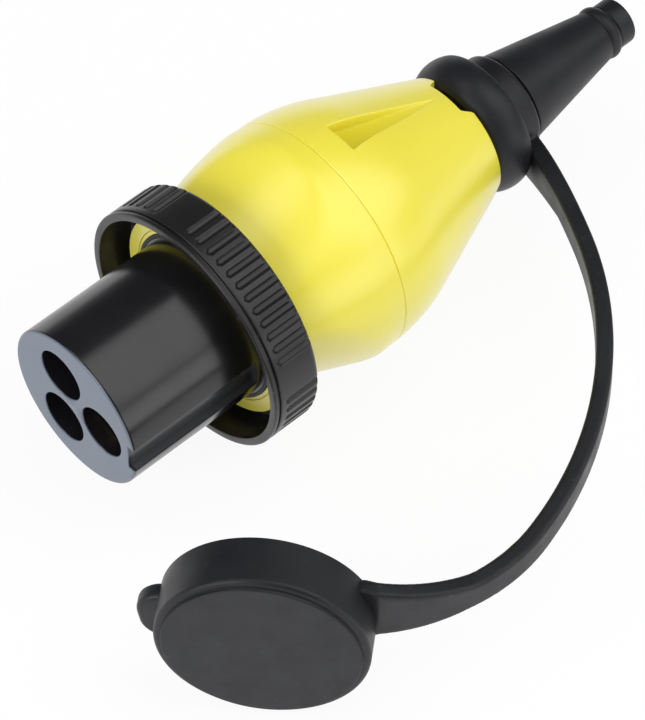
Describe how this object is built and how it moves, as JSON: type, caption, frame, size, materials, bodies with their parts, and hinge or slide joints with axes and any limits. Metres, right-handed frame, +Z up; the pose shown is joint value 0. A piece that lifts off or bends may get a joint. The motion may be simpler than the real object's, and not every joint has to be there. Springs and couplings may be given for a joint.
{
  "type": "power plug",
  "caption": "Round power plug for a cable: black contact nose with keyway, turning lock ring, yellow two-part shell, tapered rubber boot and a sealing cap on a strap",
  "frame": {"origin": "centre of the nose's front face, on the plug's axis", "axes": "+X runs along the plug's axis from the nose to the cable boot, +Z is up as the plug lies at rest, and the keyway and the strap are on the -Y side"},
  "size_m": [0.2257, 0.1473, 0.0721],
  "materials": {
    "carrier_black": "satin black moulding",
    "ring_black": "satin black moulding",
    "retainer_black": "matt black moulding",
    "shell_yellow": "smooth bright yellow moulding",
    "boot_rubber": "matt black rubber",
    "seal_rubber": "black rubber",
    "contact_brass": "machined brass",
    "screw_steel": "plated steel"
  },
  "bodies": {
    "plug": {"contact_carrier": "carrier_black", "line_contact": "contact_brass", "neutral_contact": "contact_brass", "earth_contact": "contact_brass", "line_screw": "screw_steel", "neutral_screw": "screw_steel", "earth_screw": "screw_steel", "contact_retainer": "retainer_black", "retainer_screw_1": "screw_steel", "retainer_screw_2": "screw_steel", "retainer_screw_3": "screw_steel", "carrier_nut": "retainer_black", "face_gasket": "seal_rubber", "ring_collar": "shell_yellow", "front_shell": "shell_yellow", "rear_shell": "shell_yellow", "shell_seal": "seal_rubber", "cord_clamp": "retainer_black", "clamp_screw_1": "screw_steel", "clamp_screw_2": "screw_steel", "gland_seal": "seal_rubber", "gland_washer": "screw_steel", "cable_boot": "boot_rubber", "cap_tether": "boot_rubber"},
    "lock_ring": {"lock_ring": "ring_black"}
  },
  "joints": [
    {"name": "lock_ring_turn", "type": "hinge", "parent": "plug", "child": "lock_ring", "pos_m": [0.045, 0, 0], "axis": [1, 0, 0], "continuous": true}
  ]
}
